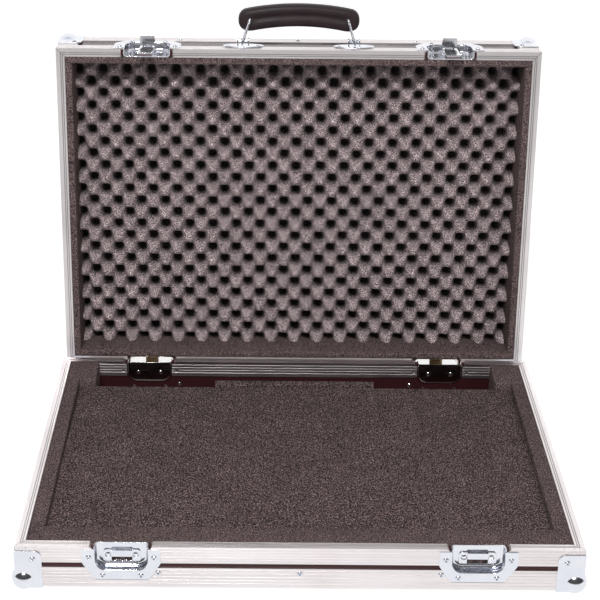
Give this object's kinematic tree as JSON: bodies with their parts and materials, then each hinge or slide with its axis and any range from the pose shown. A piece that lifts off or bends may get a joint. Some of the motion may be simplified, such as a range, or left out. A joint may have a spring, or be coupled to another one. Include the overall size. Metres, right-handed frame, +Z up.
{
  "type": "flight case for a desktop controller",
  "caption": "Open flight case with a foam-lined base tray, a hinged lid of egg-crate foam, recessed butterfly latches and a swinging carry handle.",
  "frame": {"origin": "centre of the base panel's underside", "axes": "+X to the right along the long side, +Y to the back where the hinges are, +Z up"},
  "size_m": [0.612, 0.5744, 0.5036],
  "materials": {
    "ply": "smooth dark brown laminate on plywood",
    "extrusion": "satin mill-finish extrusion with fine ribs",
    "plated": "bright zinc plating, softly polished",
    "chromed": "polished wire",
    "foam": "matt charcoal open-cell foam",
    "leather": "dark brown leather, softly worn"
  },
  "bodies": {
    "base": {"base_wall_front": "ply", "base_wall_rear": "ply", "base_wall_left": "ply", "base_wall_right": "ply", "base_panel": "ply", "base_edge_angles": "extrusion", "base_rivets": "plated", "base_profile_front": "extrusion", "base_profile_rear": "extrusion", "base_profile_left": "extrusion", "base_profile_right": "extrusion", "base_corner_front_left": "plated", "base_corner_front_right": "plated", "base_corner_rear_left": "plated", "base_corner_rear_right": "plated", "keeper_dish_left": "plated", "keeper_dish_right": "plated", "keeper_plate_left": "plated", "keeper_plate_right": "plated", "hinge_dish_lower_left": "plated", "hinge_dish_lower_right": "plated", "hinge_leaf_lower_left": "plated", "hinge_leaf_lower_right": "plated", "hinge_pins": "plated", "base_foam_frame": "foam", "base_foam_pad": "foam", "trench_foam": "foam"},
    "lid": {"lid_wall_front": "ply", "lid_wall_rear": "ply", "lid_wall_left": "ply", "lid_wall_right": "ply", "lid_panel": "ply", "lid_edge_angles": "extrusion", "lid_rivets": "plated", "lid_profile_front": "extrusion", "lid_profile_rear": "extrusion", "lid_profile_left": "extrusion", "lid_profile_right": "extrusion", "lid_corner_front_left": "plated", "lid_corner_front_right": "plated", "lid_corner_rear_left": "plated", "lid_corner_rear_right": "plated", "hinge_dish_upper_left": "plated", "hinge_dish_upper_right": "plated", "hinge_leaf_upper_left": "plated", "hinge_leaf_upper_right": "plated", "latch_dish_left": "plated", "latch_dish_right": "plated", "lid_foam_walls": "foam", "lid_crate_foam": "foam", "handle_plates": "plated"},
    "latch_turner_left": {"latch_rotor_left": "plated"},
    "wing_left": {"latch_wing_left": "plated"},
    "hook_left": {"latch_hook_left": "plated"},
    "latch_turner_right": {"latch_rotor_right": "plated"},
    "wing_right": {"latch_wing_right": "plated"},
    "hook_right": {"latch_hook_right": "plated"},
    "handle": {"handle_loop_left": "chromed", "handle_loop_right": "chromed", "handle_grip": "leather"}
  },
  "joints": [
    {"name": "lid_hinge", "type": "hinge", "parent": "base", "child": "lid", "pos_m": [0, 0.213, 0.02525], "axis": [1, 0, 0], "range_deg": [0, 95.5]},
    {"name": "latch_turn_left", "type": "hinge", "parent": "lid", "child": "latch_turner_left", "pos_m": [-0.188, 0.29734, 0.44209], "axis": [0, -0.0958, -0.9954], "range_deg": [0, 180]},
    {"name": "wing_fold_left", "type": "hinge", "parent": "latch_turner_left", "child": "wing_left", "pos_m": [-0.188, 0.29713, 0.4399], "axis": [-1, 0, 0], "range_deg": [0, 90]},
    {"name": "hook_slide_left", "type": "slide", "parent": "lid", "child": "hook_left", "axis": [0, 0.6361, -0.7716], "range_m": [0, 0.00566]},
    {"name": "latch_turn_right", "type": "hinge", "parent": "lid", "child": "latch_turner_right", "pos_m": [0.188, 0.29734, 0.44209], "axis": [0, -0.0958, -0.9954], "range_deg": [0, 180]},
    {"name": "wing_fold_right", "type": "hinge", "parent": "latch_turner_right", "child": "wing_right", "pos_m": [0.188, 0.29713, 0.4399], "axis": [-1, 0, 0], "range_deg": [0, 90]},
    {"name": "hook_slide_right", "type": "slide", "parent": "lid", "child": "hook_right", "axis": [0, 0.6361, -0.7716], "range_m": [0, 0.00566]},
    {"name": "handle_swing", "type": "hinge", "parent": "lid", "child": "handle", "pos_m": [0, 0.30006, 0.44946], "axis": [1, 0, 0], "range_deg": [-70, 70]}
  ],
  "couplings": [
    {"joint": "hook_slide_left", "follows": "latch_turn_left", "m_per_rad": 0.0018005},
    {"joint": "hook_slide_right", "follows": "latch_turn_right", "m_per_rad": 0.0018005}
  ]
}
